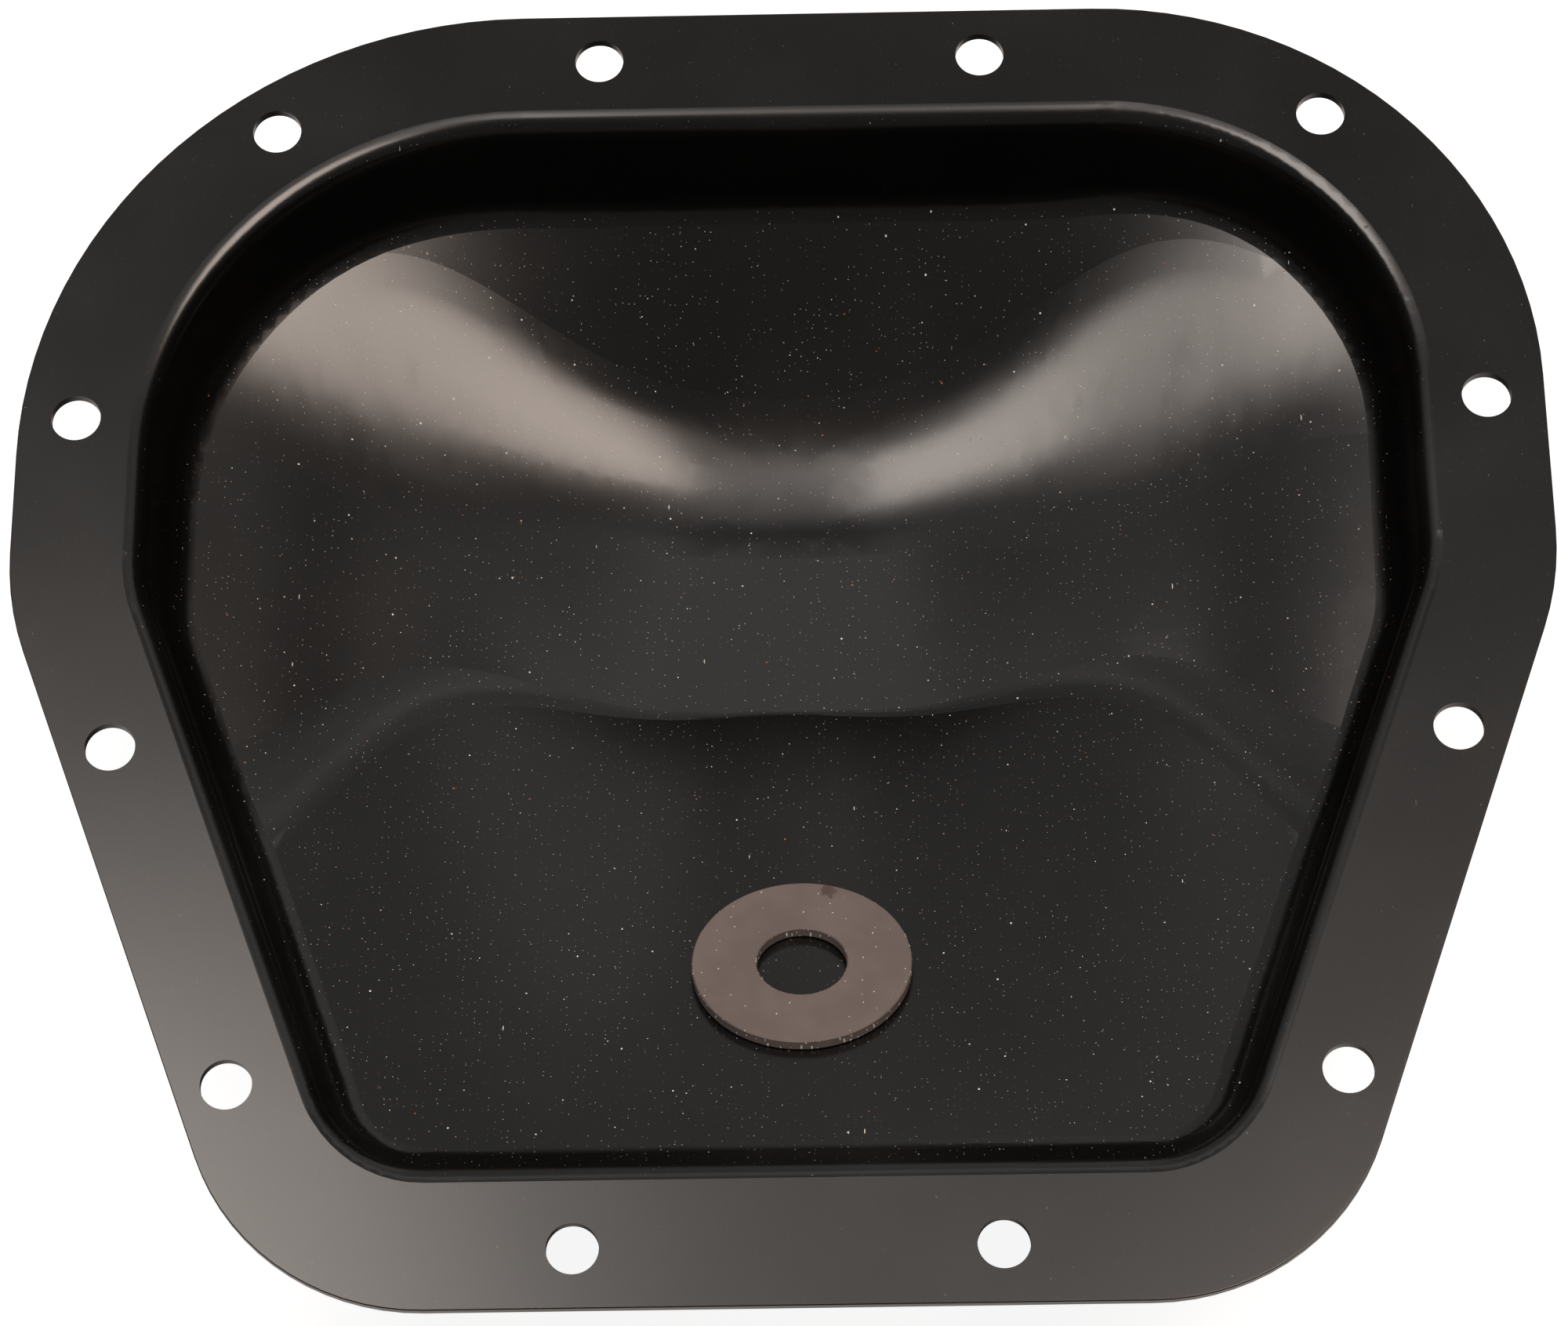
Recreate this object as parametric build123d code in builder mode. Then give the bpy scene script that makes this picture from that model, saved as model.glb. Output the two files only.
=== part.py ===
# Differential cover: a stamped steel pan with a twelve-hole bolting flange, and the ring magnet that
# catches filings on the sloping floor inside it.
# Millimetres. Origin: midway between the two widest side holes, on the gasket face of the flange.
# +Z is the gasket face's normal, out of the open pan; +Y is the wide top edge; +X runs across.
from build123d import *
from math import cos, radians, sin, sqrt, tan
import os

os.makedirs("parts", exist_ok=True)

# Sheet steel
sheet = 2.2
edge_break = 0.3

# Flange outline: a wide top, upright upper sides, lower sides that lean in, a narrow bottom
flange_half_width = 169.4
flange_top = 102.0
flange_bottom = -207.0
side_bend_y = -45.3
side_lean = 19.9
top_left_radius = 111.0
top_right_radius = 97.0
side_bend_radius = 70.0
foot_radius = 51.5

# Bolt holes: six level rows of two, each hole set in from the flange edge beside it
bolt_hole_diameter = 11.0
side_hole_inset = 12.9
lean_hole_inset = 11.0
foot_hole_inset = 12.8
top_hole_inset = 12.0
side_row_y = 0.0
lower_side_row_y = -80.0
lower_corner_row_y = -157.4
foot_row_half_pitch = 44.4
top_corner_row_y = 72.8
top_hole_left_x = -40.7
top_hole_right_x = 46.5

# Pan: the flange outline brought in by the width of the flange
flange_width = 29.5
wall_draft = 3.0
foot_wall_draft = 45.0
wall_reach = 95.0
mouth_radius = 5.0
floor_corner_radius = 8.0

# Pan floor. The ramp rises from the knee to the foot wall, flat under the magnet and less steep toward
# the sides. Above the knee the floor runs on to a smile-shaped fold, and from the fold a facet climbs
# to the top wall.
ramp_foot_depth = 7.0
facet_top_depth = 34.0
floor_margin = 60.0
# Sections of the floor from the middle of the pan outward, as shares of the pan's half width
station_shares = (0.0, 0.18, 0.36, 0.54, 0.72, 0.9, 1.075)
ramp_lean = (22.8, 22.8, 21.0, 19.3, 18.8, 18.2, 17.5)
knee_y = (-48.5, -49.0, -46.7, -45.6, -61.5, -86.0, -111.0)
knee_radius = (5.0, 9.5, 20.0, 42.0, 74.0, 115.0, 160.0)
fold_y = (14.3, 16.2, 20.0, 26.3, 30.2, 26.0, 22.5)
fold_drop = (34.4, 33.1, 28.2, 21.3, 16.5, 11.6, 6.6)
fold_radius = (56.0, 62.0, 87.0, 140.0, 164.0, 176.0, 188.0)
facet_rise = (0.0, 0.0, 0.0, 2.7, 9.4, 14.5, 18.3)

# Ring magnet, lying flat on the ramp
magnet_diameter = 47.6
magnet_bore = 19.6
magnet_thickness = 2.6
magnet_edge = 0.25
magnet_x = 3.2
magnet_y = -123.3
magnet_clearance = 0.1

# Values that follow from the sizes above
lean = radians(side_lean)
pan_half_width = flange_half_width - flange_width
ramp_foot_y = flange_bottom + flange_width + ramp_foot_depth * tan(radians(foot_wall_draft))


def near(a, b):
    """True where two lengths are the same."""
    return abs(a - b) < 0.001


def outline(inset, foot_inset, top_left, top_right, bend, foot):
    """Face inside the flange outline, brought in by inset, and by foot_inset at the bottom."""
    half = flange_half_width - inset
    crown = flange_top - inset
    base = flange_bottom + foot_inset
    bend_y = side_bend_y + inset * tan(lean / 2)
    base_half = half - (bend_y - base) * tan(lean)
    with BuildSketch() as face:
        with BuildLine():
            Polyline(
                (-half, crown),
                (half, crown),
                (half, bend_y),
                (base_half, base),
                (-base_half, base),
                (-half, bend_y),
                close=True,
            )
        make_face()
        fillet(face.vertices().filter_by(lambda v: near(v.Y, base)), foot)
        fillet(face.vertices().filter_by(lambda v: near(v.Y, bend_y)), bend)
        fillet(face.vertices().filter_by(lambda v: near(v.Y, crown) and near(v.X, -half)), top_left)
        fillet(face.vertices().filter_by(lambda v: near(v.Y, crown) and near(v.X, half)), top_right)
    return face.sketch


def floor_section(n, grow):
    """Closed section of the space above the floor at station n, its floor lowered by grow."""
    slope = tan(radians(ramp_lean[n]))
    top_depth = facet_top_depth - facet_rise[n]
    top_y = flange_top - flange_width - top_depth * tan(radians(wall_draft))
    knee = (knee_y[n], -ramp_foot_depth - (knee_y[n] - ramp_foot_y) * slope)
    fold = (fold_y[n], -top_depth - fold_drop[n])
    climb = fold_drop[n] / (top_y - fold_y[n])
    low_end = (ramp_foot_y - floor_margin, -ramp_foot_depth + floor_margin * slope)
    high_end = (top_y + floor_margin, -top_depth + floor_margin * climb)
    with BuildSketch() as section:
        with BuildLine():
            Polyline(
                low_end,
                knee,
                fold,
                high_end,
                (high_end[0], wall_reach),
                (low_end[0], wall_reach),
                close=True,
            )
        make_face()
        for corner, radius in ((knee, knee_radius[n]), (fold, fold_radius[n])):
            fillet(section.vertices().sort_by_distance((corner[0], corner[1], 0))[0], radius)
        if grow > 0:
            offset(amount=grow, kind=Kind.INTERSECTION)
    return section.sketch


def floor_space(grow):
    """Solid above the pan floor, lofted through its sections from side to side."""
    shares = [-share for share in reversed(station_shares[1:])] + list(station_shares)
    with BuildPart() as space:
        for share in shares:
            station = Plane(origin=(share * pan_half_width, 0, 0), x_dir=(0, 1, 0), z_dir=(1, 0, 0))
            with BuildSketch(station):
                add(floor_section(station_shares.index(abs(share)), grow))
        loft()
    return space.part


def pan_form(grow):
    """Solid that fills the pan, with its walls and floor moved outward by grow."""
    inset = flange_width - grow / cos(radians(wall_draft))
    foot_inset = flange_width - grow / cos(radians(foot_wall_draft))
    wall_run = wall_reach * tan(radians(wall_draft))
    foot_run = wall_reach * tan(radians(foot_wall_draft))
    flange_radii = (top_left_radius, top_right_radius, side_bend_radius, foot_radius)
    radii = [radius - flange_width + grow for radius in flange_radii]
    deep_radii = [radius - wall_run for radius in radii]
    with BuildPart() as form:
        with BuildSketch():
            add(outline(inset, foot_inset, *radii))
        with BuildSketch(Plane.XY.offset(-wall_reach)):
            add(outline(inset + wall_run, foot_inset + foot_run, *deep_radii))
        loft(ruled=True)
        add(floor_space(grow), mode=Mode.INTERSECT)
        floor = form.faces().filter_by(lambda f: f.bounding_box().max.Z < -0.5)
        corner = ShapeList([e for e in floor.edges() if lies_on_one(e, floor)])
        fillet(corner, floor_corner_radius + grow)
    return form.part


def lies_on_one(edge, faces):
    """True where an edge bounds just one of the faces, so it is on their common rim."""
    return sum(any(edge.is_same(other) for other in face.edges()) for face in faces) == 1


# Stamped cover: flange and pan in one sheet
with BuildPart() as cover:
    with BuildSketch():
        add(outline(0, 0, top_left_radius, top_right_radius, side_bend_radius, foot_radius))
    extrude(amount=-sheet)
    edges_of_blank = cover.edges().filter_by(lambda e: near(e.bounding_box().size.Z, 0))
    fillet(edges_of_blank, edge_break)
    add(pan_form(sheet))
    back = cover.faces().filter_by(Axis.Z).filter_by(lambda f: near(f.center().Z, -sheet))
    fillet(back.sort_by(SortBy.AREA)[-1].inner_wires()[0].edges(), mouth_radius - sheet)
    add(pan_form(0), mode=Mode.SUBTRACT)
    gasket_face = cover.faces().filter_by(Axis.Z).filter_by(lambda f: near(f.center().Z, 0))
    fillet(gasket_face.sort_by(SortBy.AREA)[-1].inner_wires()[0].edges(), mouth_radius)

    # bolt holes, from the widest row down and then up
    side_x = flange_half_width - side_hole_inset
    lean_inset_x = lean_hole_inset / cos(lean)
    lower_side_x = flange_half_width - (side_bend_y - lower_side_row_y) * tan(lean) - lean_inset_x
    lower_corner_x = flange_half_width - (side_bend_y - lower_corner_row_y) * tan(lean) - lean_inset_x
    foot_row_y = flange_bottom + foot_hole_inset
    top_row_y = flange_top - top_hole_inset
    left_reach = top_left_radius - top_hole_inset
    right_reach = top_right_radius - top_hole_inset
    left_rise = top_corner_row_y - flange_top + top_left_radius
    right_rise = top_corner_row_y - flange_top + top_right_radius
    top_corner_left_x = top_left_radius - flange_half_width - sqrt(left_reach**2 - left_rise**2)
    top_corner_right_x = flange_half_width - top_right_radius + sqrt(right_reach**2 - right_rise**2)
    bolt_places = [
        (-side_x, side_row_y),
        (side_x, side_row_y),
        (-lower_side_x, lower_side_row_y),
        (lower_side_x, lower_side_row_y),
        (-lower_corner_x, lower_corner_row_y),
        (lower_corner_x, lower_corner_row_y),
        (-foot_row_half_pitch, foot_row_y),
        (foot_row_half_pitch, foot_row_y),
        (top_corner_left_x, top_corner_row_y),
        (top_corner_right_x, top_corner_row_y),
        (top_hole_left_x, top_row_y),
        (top_hole_right_x, top_row_y),
    ]
    with Locations(*bolt_places):
        Hole(radius=bolt_hole_diameter / 2, depth=sheet)

cover.part.label = "cover"
export_step(cover.part, "parts/cover.step")

# Ring magnet, face down on the ramp
seat_lean = radians(ramp_lean[0])
seat_z = -ramp_foot_depth - (magnet_y - ramp_foot_y) * tan(seat_lean)
ramp_normal = (0, sin(seat_lean), cos(seat_lean))
seat = Plane(origin=(magnet_x, magnet_y, seat_z), x_dir=(1, 0, 0), z_dir=ramp_normal)
with BuildPart() as ring_magnet:
    with BuildSketch(seat.offset(magnet_clearance)):
        Circle(magnet_diameter / 2)
        Circle(magnet_bore / 2, mode=Mode.SUBTRACT)
    extrude(amount=magnet_thickness)
    chamfer(ring_magnet.edges().filter_by(GeomType.CIRCLE), magnet_edge)

ring_magnet.part.label = "ring_magnet"
export_step(ring_magnet.part, "parts/ring_magnet.step")
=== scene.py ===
"""Looks of a differential cover: a satin black stamped pan with a ring magnet on its sloping floor.

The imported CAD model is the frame. Both of its nodes keep their shape and get a finish here, and a
pale floor, two overhead softboxes and a camera stand round them. Everything is in metres, apart
from names that end in _mm or _deg.
"""

import logging
from dataclasses import dataclass, field
from enum import Enum
from math import pi, radians, tan

import bpy
from mathutils import Euler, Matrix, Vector


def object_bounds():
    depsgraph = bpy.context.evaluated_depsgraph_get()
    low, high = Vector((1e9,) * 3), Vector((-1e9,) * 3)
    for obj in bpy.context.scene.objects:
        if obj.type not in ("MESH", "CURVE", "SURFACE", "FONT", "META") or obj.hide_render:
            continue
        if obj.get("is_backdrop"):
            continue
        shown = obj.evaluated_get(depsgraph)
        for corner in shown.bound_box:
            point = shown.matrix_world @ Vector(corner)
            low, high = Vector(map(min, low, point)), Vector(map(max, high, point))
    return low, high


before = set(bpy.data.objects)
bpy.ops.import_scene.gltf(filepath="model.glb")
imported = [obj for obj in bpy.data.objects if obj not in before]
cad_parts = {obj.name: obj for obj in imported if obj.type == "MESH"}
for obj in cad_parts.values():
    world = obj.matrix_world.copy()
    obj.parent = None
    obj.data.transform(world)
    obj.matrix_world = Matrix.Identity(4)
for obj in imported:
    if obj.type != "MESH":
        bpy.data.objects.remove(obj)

MM = 0.001

log = logging.getLogger("cover_scene")

Colour = tuple[float, float, float]
Span = tuple[float, float]
Socket = bpy.types.NodeSocket
# What an input of a node can be given: a plain value, a socket, or a node for its first output
Fill = float | tuple[float, ...] | Socket | bpy.types.Node


class Slot(Enum):
    """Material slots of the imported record."""

    PAINTED_STEEL = "painted_steel"
    FERRITE = "ferrite"


@dataclass(frozen=True)
class Specks:
    """One kind of speck, each in a cell of its own.

    The values are the spacing of the cells, the largest width of a speck, the share of cells that
    hold one, and how far the specks are drawn out and turned.
    """

    cell_mm: float
    size_mm: float
    share: float
    stretch: float = 1.0
    turn_deg: float = 0.0
    least_radius: float = 0.15
    added_radius: float = 0.35


def opaque(colour: Colour) -> tuple[float, float, float, float]:
    """Returns the colour with full alpha."""
    return (*colour, 1.0)


class Graph:
    """Node tree of one material or world, with short calls that add and join nodes."""

    def __init__(self, owner: bpy.types.Material | bpy.types.World) -> None:
        """Empties the owner's node tree.

        Args:
            owner: the material or world whose tree is written.
        """
        owner.use_nodes = True
        self.tree = owner.node_tree
        self.tree.nodes.clear()

    def add(self, kind: str, settings: dict | None = None, **inputs: Fill) -> bpy.types.Node:
        """Adds a node and fills or links its inputs.

        Args:
            kind: the node type without its ShaderNode prefix.
            settings: node properties, such as operation or blend_type.
            inputs: values or sockets by input name, with _ for a space and iN for input number N.

        Returns:
            The new node.
        """
        node = self.tree.nodes.new("ShaderNode" + kind)
        for name, value in (settings or {}).items():
            setattr(node, name, value)
        for name, value in inputs.items():
            key = int(name[1:]) if name[1:].isdigit() else name.replace("_", " ")
            if isinstance(value, bpy.types.Node):
                value = value.outputs[0]
            if isinstance(value, Socket):
                self.tree.links.new(value, node.inputs[key])
            else:
                node.inputs[key].default_value = value
        return node

    def math(self, operation: str, *values: Fill) -> Socket:
        """Adds a Math node.

        Args:
            operation: the node's operation.
            values: numbers or sockets, in order.

        Returns:
            The result socket.
        """
        inputs = {f"i{n}": value for n, value in enumerate(values)}
        return self.add("Math", {"operation": operation}, **inputs).outputs["Value"]

    def ramp(self, value: Socket, low: float, high: float) -> Socket:
        """Maps low to 0 and high to 1, smoothly, and clamps outside.

        Args:
            value: the socket to map.
            low: the value that becomes 0.
            high: the value that becomes 1.

        Returns:
            The mapped socket.
        """
        kind = {"interpolation_type": "SMOOTHSTEP"}
        node = self.add("MapRange", kind, Value=value, From_Min=low, From_Max=high)
        return node.outputs["Result"]

    def mix(self, share: Fill, first: Fill, second: Fill, blend: str = "MIX") -> Socket:
        """Mixes two colours.

        Args:
            share: number or socket, 0 for all of the first.
            first: colour or socket.
            second: colour or socket.
            blend: the node's blend type.

        Returns:
            The mixed colour socket.
        """
        kind = {"data_type": "RGBA", "blend_type": blend}
        return self.add("Mix", kind, i0=share, i6=first, i7=second).outputs[2]

    def noise(self, place: Socket, size_mm: float, detail: float) -> Socket:
        """Adds a noise texture.

        Args:
            place: coordinates in metres.
            size_mm: width of one blotch in millimetres.
            detail: octaves of finer noise.

        Returns:
            The noise value, about 0.5 on average.
        """
        node = self.add("TexNoise", Vector=place, Scale=1 / (size_mm * MM), Detail=detail)
        return node.outputs[0]

    def specks(self, place: Socket, dust: Specks) -> tuple[Socket, Socket]:
        """Scatters small specks as seen from above, one at most to a cell.

        Args:
            place: coordinates in metres.
            dust: size, spacing and shape of the specks.

        Returns:
            The mask socket and a random number socket that differs from speck to speck.
        """
        turn = (0, 0, radians(dust.turn_deg))
        turned = self.add("Mapping", Vector=place, Rotation=turn, Scale=(1, dust.stretch, 1))
        flat = {"voronoi_dimensions": "2D"}
        cells = self.add("TexVoronoi", flat, Vector=turned, Scale=1 / (dust.cell_mm * MM))
        chance, girth, tone = self.add("SeparateColor", Color=cells.outputs["Color"]).outputs
        held = self.math("LESS_THAN", chance, dust.share)
        width = dust.size_mm / dust.cell_mm
        added, least = dust.added_radius * width, dust.least_radius * width
        reach = self.math("MULTIPLY_ADD", girth, added, least)
        inside = self.math("LESS_THAN", cells.outputs["Distance"], reach)
        return self.math("MULTIPLY", held, inside), tone

    def upward(self) -> Socket:
        """Returns how far the surface faces up, from 1 for level to 0 for upright."""
        facing = self.add("NewGeometry").outputs["Normal"]
        return self.add("SeparateXYZ", Vector=facing).outputs["Z"]

    def bump(self, height: Socket, strength: float, depth_mm: float) -> Socket:
        """Adds a bump from a height.

        Args:
            height: height socket, 0 to 1.
            strength: strength of the bump.
            depth_mm: height of 1 in millimetres.

        Returns:
            The normal socket.
        """
        node = self.add("Bump", Strength=strength, Distance=depth_mm * MM, Height=height)
        return node.outputs["Normal"]

    def finish(self, shader: bpy.types.Node, output: str = "OutputMaterial") -> None:
        """Joins a shader to the output.

        Args:
            shader: the last shader node.
            output: the output node's type.
        """
        self.add(output, Surface=shader)


@dataclass(frozen=True)
class CoatedSteel:
    """Satin black dip coating on stamped steel, with shipping dust inside the pan."""

    name: str = "satin_black_coating"
    colour: Colour = (0.0022, 0.0021, 0.0020)
    scuffed: Colour = (0.0060, 0.0054, 0.0048)
    roughness: Span = (0.195, 0.245)
    specular: float = 0.65
    blotch_mm: float = 45.0
    blotch_detail: float = 5.0
    blotch_span: Span = (0.45, 0.80)
    grain_mm: float = 0.45
    grain_detail: float = 3.0
    grain_strength: float = 0.10
    grain_depth_mm: float = 0.02
    dust: tuple[Specks, ...] = (
        Specks(1.4, 0.17, 0.34),
        Specks(4.2, 0.28, 0.24, turn_deg=17.0),
        Specks(13.0, 0.46, 0.60, turn_deg=41.0),
        Specks(13.0, 0.20, 0.24, stretch=0.16, turn_deg=34.0),
        Specks(14.0, 0.20, 0.24, stretch=0.13, turn_deg=-52.0),
        Specks(15.0, 0.20, 0.20, stretch=0.13, turn_deg=81.0),
    )
    pale_dust: Colour = (0.74, 0.70, 0.63)
    rust_dust: Colour = (0.30, 0.11, 0.04)
    rust_span: Span = (0.60, 0.66)
    dust_roughness: float = 0.8
    dust_depth: float = 4 * MM
    dust_on_flange: float = 0.10
    dust_least_upward: float = 0.6

    def material(self) -> bpy.types.Material:
        """Builds the material.

        Returns:
            The new material.
        """
        made = bpy.data.materials.new(self.name)
        graph = Graph(made)
        place = graph.add("TexCoord").outputs["Object"]
        blotch = graph.noise(place, self.blotch_mm, self.blotch_detail)
        worn = graph.ramp(blotch, *self.blotch_span)
        coat = graph.mix(worn, opaque(self.colour), opaque(self.scuffed))
        mask, tone = self.scatter(graph, place)
        kept = graph.math("MULTIPLY", mask, self.settled(graph, place))
        rusty = graph.ramp(tone, *self.rust_span)
        speck = graph.mix(rusty, opaque(self.pale_dust), opaque(self.rust_dust))
        grain = graph.noise(place, self.grain_mm, self.grain_detail)
        smooth, dull = self.roughness
        satin = graph.add("MapRange", Value=blotch, To_Min=smooth, To_Max=dull)
        dusty = graph.math("MULTIPLY", kept, self.dust_roughness)
        shader = graph.add(
            "BsdfPrincipled",
            Base_Color=graph.mix(kept, coat, speck),
            Roughness=graph.math("MAXIMUM", satin, dusty),
            Specular_IOR_Level=self.specular,
            Normal=graph.bump(grain, self.grain_strength, self.grain_depth_mm),
        )
        graph.finish(shader)
        return made

    def scatter(self, graph: Graph, place: Socket) -> tuple[Socket, Socket]:
        """Lays every kind of speck over the others.

        Args:
            graph: the material's graph.
            place: coordinates in metres.

        Returns:
            The mask socket of all specks and a tone socket that differs from speck to speck.
        """
        masks, tones = zip(*(graph.specks(place, dust) for dust in self.dust))
        mask, tone = masks[0], graph.math("MULTIPLY", masks[0], tones[0])
        for other, shade in zip(masks[1:], tones[1:]):
            mask = graph.math("MAXIMUM", mask, other)
            tone = graph.math("MAXIMUM", tone, graph.math("MULTIPLY", other, shade))
        return mask, tone

    def settled(self, graph: Graph, place: Socket) -> Socket:
        """Mask of the surfaces that hold dust: faces that look up, most of it inside the pan.

        Args:
            graph: the material's graph.
            place: coordinates in metres.

        Returns:
            The mask socket.
        """
        depth = graph.add("SeparateXYZ", Vector=place).outputs["Z"]
        below = graph.ramp(depth, 0.0, -self.dust_depth)
        kept = graph.math("MAXIMUM", below, self.dust_on_flange)
        level = graph.math("GREATER_THAN", graph.upward(), self.dust_least_upward)
        return graph.math("MULTIPLY", kept, level)


@dataclass(frozen=True)
class FerriteFinish:
    """Matt grey-brown sintered ferrite with chalky chips, most on its rim, and a brown stain."""

    name: str = "matt_ferrite"
    colour: Colour = (0.158, 0.126, 0.118)
    shade: Colour = (0.134, 0.108, 0.101)
    chalk: Colour = (0.85, 0.82, 0.76)
    scratch: Colour = (0.060, 0.036, 0.030)
    roughness: float = 0.60
    cloud_mm: float = 11.0
    cloud_span: Span = (0.35, 0.65)
    grain_mm: float = 0.35
    grain_strength: float = 0.30
    grain_depth_mm: float = 0.03
    detail: float = 4.0
    mark_strength: float = 0.8
    chips: Specks = Specks(3.1, 0.34, 0.35)
    rim_chips: Specks = Specks(1.0, 0.52, 0.70, turn_deg=23.0)
    rim_upward: Span = (0.80, 0.60)
    scratches: tuple[Specks, ...] = (
        Specks(7.0, 0.30, 0.14, stretch=0.13, turn_deg=-66.0),
        Specks(9.0, 0.30, 0.14, stretch=0.14, turn_deg=25.0),
    )
    stain_at: tuple[float, float] = (9.3 * MM, -102.6 * MM)
    stain_radius: float = 2.2 * MM
    stain_strength: float = 0.75
    stain_rag_mm: float = 1.2
    stain_rag_detail: float = 3.0
    stain_rag_depth: float = 2.0
    stain_edge: float = 0.5

    def material(self) -> bpy.types.Material:
        """Builds the material.

        Returns:
            The new material.
        """
        made = bpy.data.materials.new(self.name)
        graph = Graph(made)
        place = graph.add("TexCoord").outputs["Object"]
        cloud = graph.noise(place, self.cloud_mm, self.detail)
        cloudy = graph.ramp(cloud, *self.cloud_span)
        body = graph.mix(cloudy, opaque(self.colour), opaque(self.shade))
        for mark in self.scratches:
            worn, _ = graph.specks(place, mark)
            marked = graph.math("MULTIPLY", worn, self.mark_strength)
            body = graph.mix(marked, body, opaque(self.scratch))
        body = graph.mix(self.stained(graph, place), body, opaque(self.scratch))
        chalky = graph.math("MULTIPLY", self.chipped(graph, place), self.mark_strength)
        grain = graph.noise(place, self.grain_mm, self.detail)
        shader = graph.add(
            "BsdfPrincipled",
            Base_Color=graph.mix(chalky, body, opaque(self.chalk)),
            Roughness=self.roughness,
            Normal=graph.bump(grain, self.grain_strength, self.grain_depth_mm),
        )
        graph.finish(shader)
        return made

    def chipped(self, graph: Graph, place: Socket) -> Socket:
        """Mask of the chalky chips: a few on the flat face, many on the rim.

        Args:
            graph: the material's graph.
            place: coordinates in metres.

        Returns:
            The mask socket.
        """
        few, _ = graph.specks(place, self.chips)
        many, _ = graph.specks(place, self.rim_chips)
        rim = graph.ramp(graph.upward(), *self.rim_upward)
        return graph.math("MAXIMUM", few, graph.math("MULTIPLY", many, rim))

    def stained(self, graph: Graph, place: Socket) -> Socket:
        """Mask of the ragged brown stain at the far edge of the ring.

        Args:
            graph: the material's graph.
            place: coordinates in metres.

        Returns:
            The mask socket.
        """
        parts = graph.add("SeparateXYZ", Vector=place)
        flat = graph.add("CombineXYZ", X=parts.outputs["X"], Y=parts.outputs["Y"])
        centre = (*self.stain_at, 0.0)
        away = graph.add("VectorMath", {"operation": "DISTANCE"}, i0=flat, i1=centre)
        noise = graph.noise(place, self.stain_rag_mm, self.stain_rag_detail)
        depth = -self.stain_rag_depth * self.stain_radius
        ragged = graph.math("MULTIPLY_ADD", noise, depth, away.outputs["Value"])
        inside = graph.ramp(ragged, 0.0, -self.stain_edge * self.stain_radius)
        return graph.math("MULTIPLY", inside, self.stain_strength)


@dataclass(frozen=True)
class PaleFloorFinish:
    """White floor that stays white to the camera and keeps a soft shadow."""

    name: str = "pale_floor"
    colour: Colour = (0.85, 0.85, 0.85)
    glow: float = 0.90
    shown: float = 0.35

    def material(self) -> bpy.types.Material:
        """Builds the material.

        Returns:
            The new material.
        """
        made = bpy.data.materials.new(self.name)
        graph = Graph(made)
        path = graph.add("LightPath")
        plain = graph.add("BsdfDiffuse", Color=opaque(self.colour))
        dimmed = tuple(self.shown * part for part in self.colour)
        seen = graph.add("BsdfDiffuse", Color=opaque(dimmed))
        light = graph.add("Emission", Color=opaque((1, 1, 1)), Strength=self.glow)
        white = graph.add("AddShader", i0=seen, i1=light)
        mixed = graph.add("MixShader", i0=path.outputs["Is Camera Ray"], i1=plain, i2=white)
        graph.finish(mixed)
        return made


@dataclass
class CadPiece:
    """One CAD node that keeps its shape and gets a finish."""

    node: str
    slot: Slot
    finish: CoatedSteel | FerriteFinish

    def dress(self) -> bpy.types.Object:
        """Puts the finish on the node.

        Returns:
            The node's object.
        """
        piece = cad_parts[self.node]
        material = self.finish.material()
        for holder in piece.material_slots:
            holder.material = material
        log.info("%s: %s on %d faces", self.node, self.finish.name, len(piece.data.polygons))
        return piece


@dataclass
class Floor:
    """Pale floor just under the lowest point of the pan."""

    half_width: float = 6.0
    gap: float = 0.4 * MM
    finish: PaleFloorFinish = field(default_factory=PaleFloorFinish)

    def build(self) -> bpy.types.Object:
        """Builds the floor and marks it as stage.

        Returns:
            The floor's object.
        """
        low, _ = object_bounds()
        level = low.z - self.gap
        turns = ((-1, -1), (1, -1), (1, 1), (-1, 1))
        corners = [(x * self.half_width, y * self.half_width, level) for x, y in turns]
        mesh = bpy.data.meshes.new("floor")
        mesh.from_pydata(corners, [], [(0, 1, 2, 3)])
        mesh.materials.append(self.finish.material())
        floor = bpy.data.objects.new("floor", mesh)
        bpy.context.scene.collection.objects.link(floor)
        floor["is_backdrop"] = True
        log.info("floor: level %.4f m", level)
        return floor


@dataclass
class Softbox:
    """Rectangular lamp overhead, given by the directions of its edges as seen from the part.

    Angles are in degrees from overhead: left and right across the part, near and far from front
    to back.
    """

    name: str
    left: float
    right: float
    near: float
    far: float
    radiance: float
    colour: Colour
    turn_deg: float
    height: float = 2.5

    def build(self) -> bpy.types.Object:
        """Builds the lamp.

        Returns:
            The lamp's object.
        """
        x0, x1, y0, y1 = (
            self.height * tan(radians(edge))
            for edge in (self.left, self.right, self.near, self.far)
        )
        lamp = bpy.data.lights.new(self.name, "AREA")
        lamp.shape = "RECTANGLE"
        lamp.size, lamp.size_y = x1 - x0, y1 - y0
        lamp.energy = self.radiance * lamp.size * lamp.size_y * pi
        lamp.color = self.colour
        holder = bpy.data.objects.new(self.name, lamp)
        holder.location = ((x0 + x1) / 2, (y0 + y1) / 2, self.height)
        holder.rotation_euler = (0.0, 0.0, radians(self.turn_deg))
        bpy.context.scene.collection.objects.link(holder)
        log.info("%s: %.2f x %.2f m", self.name, lamp.size, lamp.size_y)
        return holder


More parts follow.
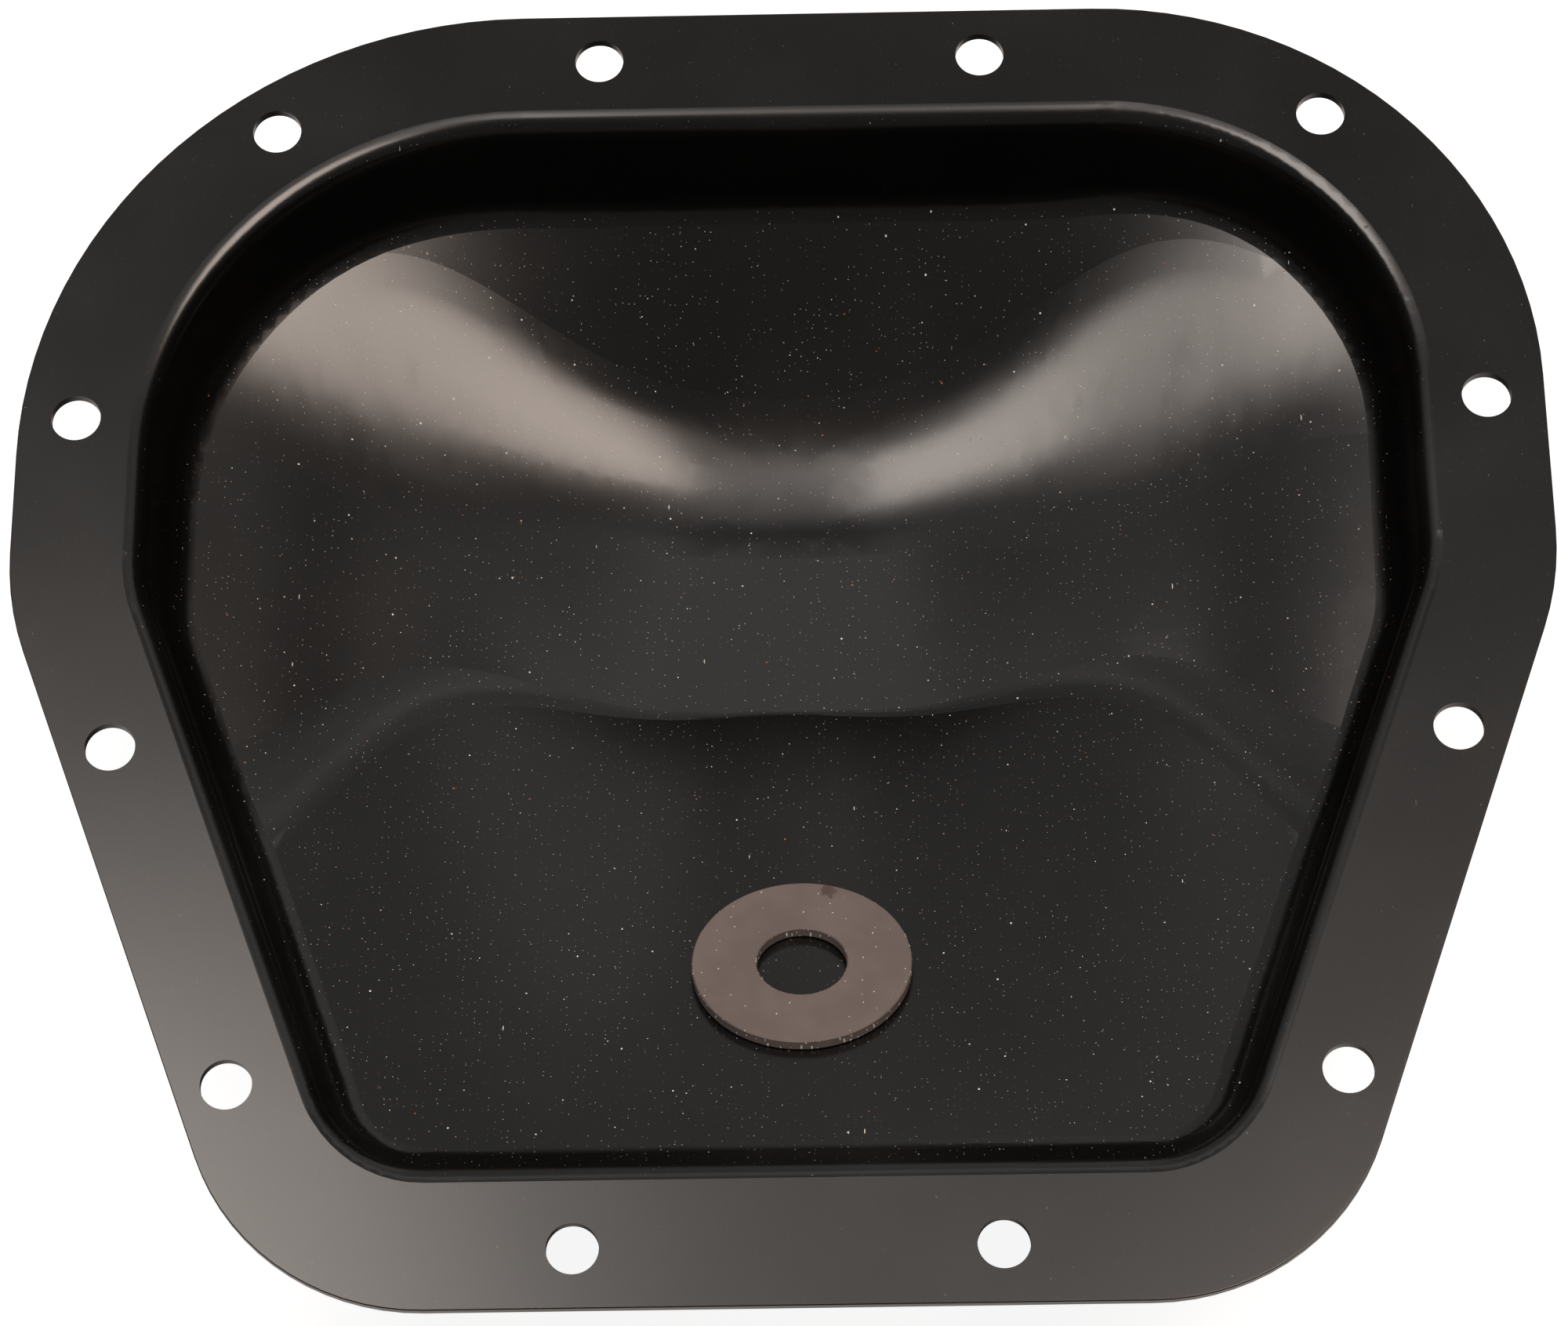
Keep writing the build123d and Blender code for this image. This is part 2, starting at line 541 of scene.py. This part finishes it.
@dataclass(frozen=True)
class RoomPanel:
    """Soft-edged patch of room light, given by the directions of its edges as seen from the part.

    Angles are in degrees from overhead: left and right across the part, near and far from front
    to back.
    """

    name: str
    left: float
    right: float
    near: float
    far: float
    level: float
    tint: Colour
    soft: float = 5.0

    def glow(self, graph: Graph, across: Socket, along: Socket) -> Socket:
        """Level of the panel in the direction that is looked up.

        Args:
            graph: the world's graph.
            across: angle from overhead to the right, in radians.
            along: angle from overhead to the back, in radians.

        Returns:
            The level socket, 0 outside the panel.
        """
        inside = self.fade(graph, across, self.left, self.soft)
        for angle, edge, soft in (
            (across, self.right, -self.soft),
            (along, self.near, self.soft),
            (along, self.far, -self.soft),
        ):
            inside = graph.math("MULTIPLY", inside, self.fade(graph, angle, edge, soft))
        return graph.math("MULTIPLY", inside, self.level)

    def fade(self, graph: Graph, angle: Socket, edge: float, soft: float) -> Socket:
        """Returns a ramp from 0 to 1 over the edge, or from 1 to 0 where soft is negative."""
        return graph.ramp(angle, radians(edge - soft), radians(edge + soft))


@dataclass
class Studio:
    """The lamps and the dim room round them."""

    boxes: tuple[Softbox, ...] = (
        Softbox("left_softbox", -33.5, -6.0, -8.5, 17.5, 7.3, (1.0, 0.90, 0.83), 7.0),
        Softbox("right_softbox", 7.5, 36.0, -14.5, 11.5, 8.3, (1.0, 0.85, 0.75), 4.0),
    )
    panels: tuple[RoomPanel, ...] = (
        RoomPanel("gap_between_lamps", -13.0, 15.0, -4.0, 24.0, 0.72, (1.0, 0.96, 0.93)),
        RoomPanel("ceiling_strip", -19.0, 20.0, 36.0, 48.0, 0.56, (1.0, 0.98, 0.95), 3.5),
        RoomPanel("left_ceiling", -44.0, -13.0, 26.0, 38.0, 0.34, (1.0, 0.99, 1.0)),
        RoomPanel("right_ceiling", 13.0, 40.0, 25.0, 40.0, 0.42, (1.0, 0.96, 0.92)),
        RoomPanel("back_wall", -55.0, 42.0, 36.0, 130.0, 0.29, (1.0, 0.98, 0.97), 6.0),
        RoomPanel("back_right_wall", 2.0, 42.0, 54.0, 130.0, 0.22, (1.0, 0.92, 0.84), 6.0),
        RoomPanel("front_wall", -60.0, 60.0, -130.0, -22.0, 0.12, (1.0, 0.97, 0.94), 6.0),
    )
    darkness: float = 0.015

    def build(self) -> None:
        """Builds the lamps and the room."""
        for box in self.boxes:
            box.build()
        self.paint_room()

    def paint_room(self) -> None:
        """Gives the world the dim light of its panels, and white to the camera."""
        world = bpy.data.worlds.new("room")
        bpy.context.scene.world = world
        graph = Graph(world)
        aim = graph.add("SeparateXYZ", Vector=graph.add("TexCoord").outputs["Generated"])
        across = graph.math("ARCTAN2", aim.outputs["X"], aim.outputs["Z"])
        along = graph.math("ARCTAN2", aim.outputs["Y"], aim.outputs["Z"])
        level: Fill = opaque((self.darkness,) * 3)
        for panel in self.panels:
            share = panel.glow(graph, across, along)
            level = graph.mix(share, level, opaque(panel.tint), "ADD")
        light = graph.add("Background", Color=level)
        shown = graph.add("Background", Color=opaque((1, 1, 1)))
        path = graph.add("LightPath")
        mixed = graph.add("MixShader", i0=path.outputs["Is Camera Ray"], i1=light, i2=shown)
        graph.finish(mixed, "OutputWorld")


@dataclass
class PhotoCamera:
    """Camera at the photograph's viewing angle: in front of the cover's foot and above it."""

    place: Vector = field(default_factory=lambda: Vector((0.01457, -0.50727, 0.97015)))
    turn_deg: tuple[float, float, float] = (24.613, 1.074, -0.509)
    lens_mm: float = 113.17
    sensor_mm: float = 36.0
    clip: Span = (0.01, 50.0)

    def build(self) -> bpy.types.Object:
        """Builds the camera and makes it the scene's camera.

        Returns:
            The camera's object.
        """
        data = bpy.data.cameras.new("photo_camera")
        data.lens = self.lens_mm
        data.sensor_width = self.sensor_mm
        data.clip_start, data.clip_end = self.clip
        camera = bpy.data.objects.new("photo_camera", data)
        camera.location = self.place
        camera.rotation_euler = Euler([radians(turn) for turn in self.turn_deg], "XYZ")
        bpy.context.scene.collection.objects.link(camera)
        bpy.context.scene.camera = camera
        log.info("photo_camera: lens %.1f mm", self.lens_mm)
        return camera


def main() -> None:
    """Builds the scene in order."""
    logging.basicConfig(level=logging.INFO, format="%(name)s: %(message)s")
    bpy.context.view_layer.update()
    bpy.context.scene.view_settings.view_transform = "Standard"
    PhotoCamera().build()
    CadPiece("cover", Slot.PAINTED_STEEL, CoatedSteel()).dress()
    CadPiece("ring_magnet", Slot.FERRITE, FerriteFinish()).dress()
    Floor().build()
    Studio().build()


if __name__ == "__main__":
    main()
